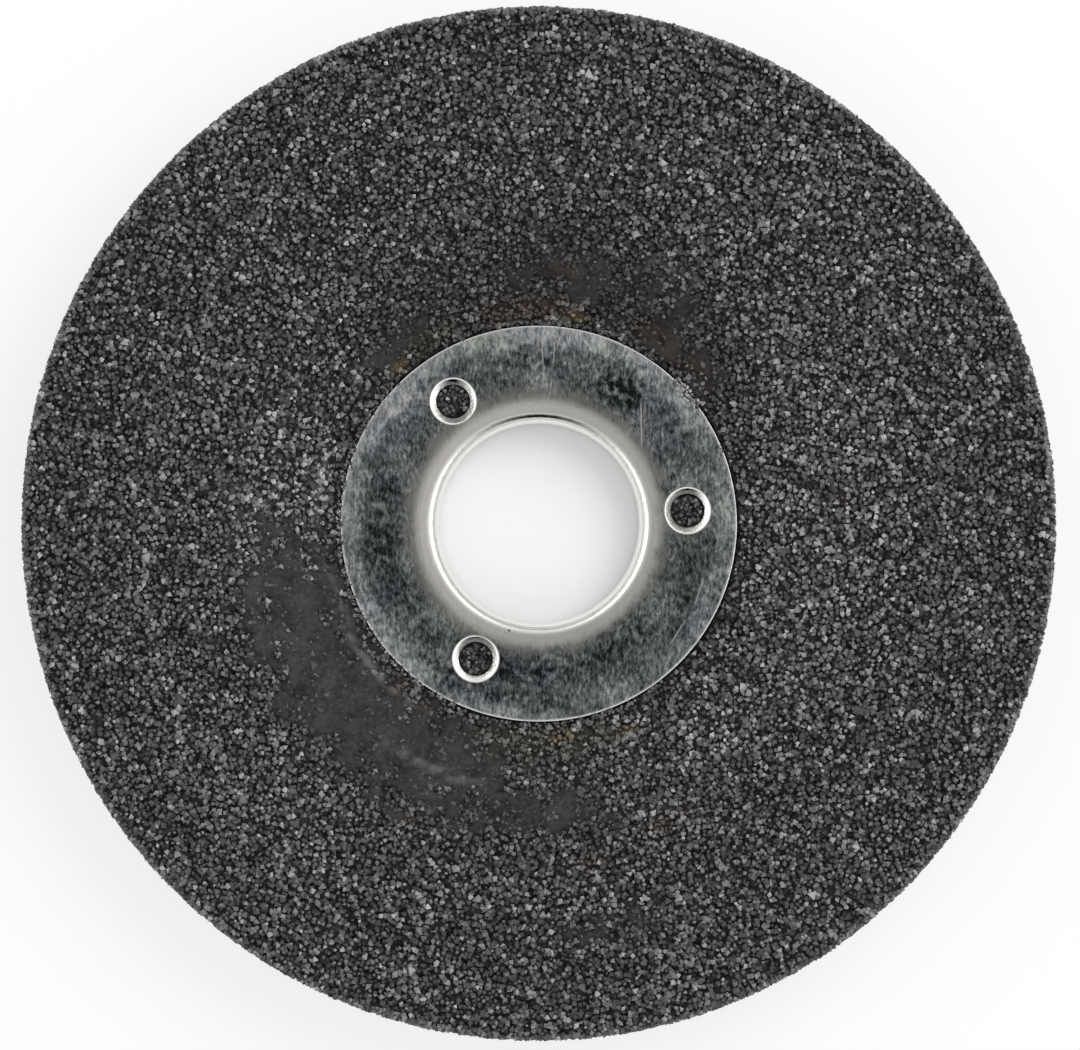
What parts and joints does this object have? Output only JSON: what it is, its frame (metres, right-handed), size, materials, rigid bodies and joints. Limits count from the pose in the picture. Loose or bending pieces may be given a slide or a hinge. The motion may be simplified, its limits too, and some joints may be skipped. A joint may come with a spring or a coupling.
{
  "type": "grinding disc",
  "caption": "Round depressed-centre grinding disc of coarse black abrasive grain, with a plated steel ring lining its bore.",
  "frame": {"origin": "on the disc's axis, in the plane of the back seat, which is the underside of the disc as it lies", "axes": "+Z along the disc's axis, from the back towards the grinding face; +X is to the right in the picture"},
  "size_m": [0.115, 0.115, 0.0106],
  "materials": {
    "black_grain": "coarse black abrasive grain bonded in dark resin",
    "plated_steel": "stamped steel sheet with a stained, semi-bright plating"
  },
  "bodies": {
    "root": {"abrasive_wheel": "black_grain", "centre_ring": "plated_steel"}
  },
  "joints": []
}
